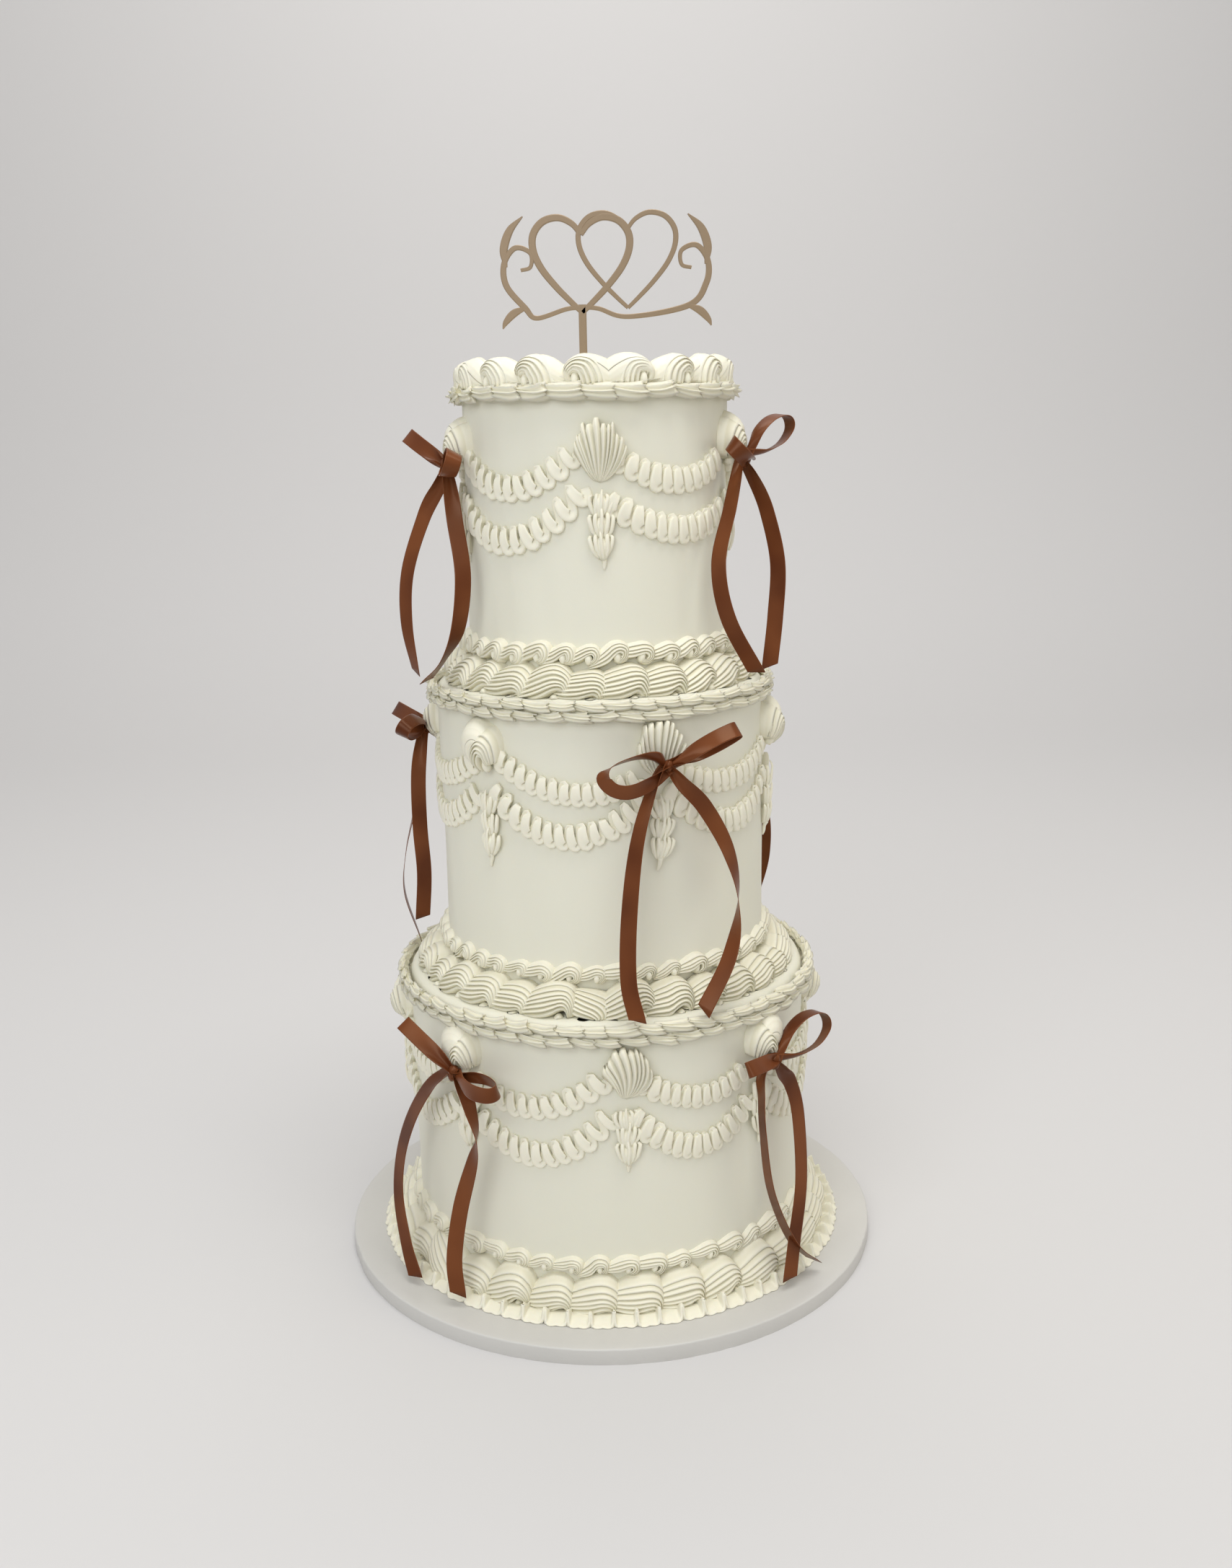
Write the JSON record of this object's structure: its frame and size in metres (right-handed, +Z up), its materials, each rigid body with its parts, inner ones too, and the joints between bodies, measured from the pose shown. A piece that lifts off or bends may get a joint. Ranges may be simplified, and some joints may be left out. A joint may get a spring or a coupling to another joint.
{
  "type": "tiered wedding cake",
  "caption": "Round tiered wedding cake on a covered board, smooth cream icing with piped shell borders and draped garlands, brown ribbon bows and a cut-out heart topper.",
  "frame": {"origin": "centre of the board's underside", "axes": "+Z up through the tiers, the front of the cake faces -Y, +X is to the right seen from the front"},
  "size_m": [0.3556, 0.3556, 0.6685],
  "materials": {
    "icing": "smooth satin-matt buttercream",
    "piping": "soft satin piped buttercream",
    "ribbon": "brown satin weave",
    "board": "pearl white embossed foil paper",
    "topper": "satin gold-brown paint on cut sheet"
  },
  "bodies": {
    "root": {"board": "board", "tier_bottom": "icing", "rim_border_bottom": "piping", "base_shells_bottom": "piping", "scroll_row_bottom": "piping", "garland_upper_bottom": "piping", "garland_lower_bottom": "piping", "drop_bottom_1": "piping", "drop_bottom_2": "piping", "drop_bottom_3": "piping", "drop_bottom_4": "piping", "drop_bottom_5": "piping", "drop_bottom_6": "piping", "drop_bottom_7": "piping", "drop_bottom_8": "piping", "tier_middle": "icing", "rim_border_middle": "piping", "base_shells_middle": "piping", "scroll_row_middle": "piping", "garland_upper_middle": "piping", "garland_lower_middle": "piping", "drop_middle_1": "piping", "drop_middle_2": "piping", "drop_middle_3": "piping", "drop_middle_4": "piping", "drop_middle_5": "piping", "drop_middle_6": "piping", "tier_top": "icing", "rim_border_top": "piping", "base_shells_top": "piping", "scroll_row_top": "piping", "garland_upper_top": "piping", "garland_lower_top": "piping", "drop_top_1": "piping", "drop_top_2": "piping", "drop_top_3": "piping", "drop_top_4": "piping", "drop_top_5": "piping", "board_ruffle": "piping", "crown_shells": "piping", "bow_top_left": "ribbon", "bow_top_right": "ribbon", "bow_middle_front": "ribbon", "bow_middle_left": "ribbon", "bow_middle_back": "ribbon", "bow_bottom_left": "ribbon", "bow_bottom_right": "ribbon", "bow_bottom_back_right": "ribbon", "bow_bottom_back_left": "ribbon", "topper": "topper"}
  },
  "joints": []
}
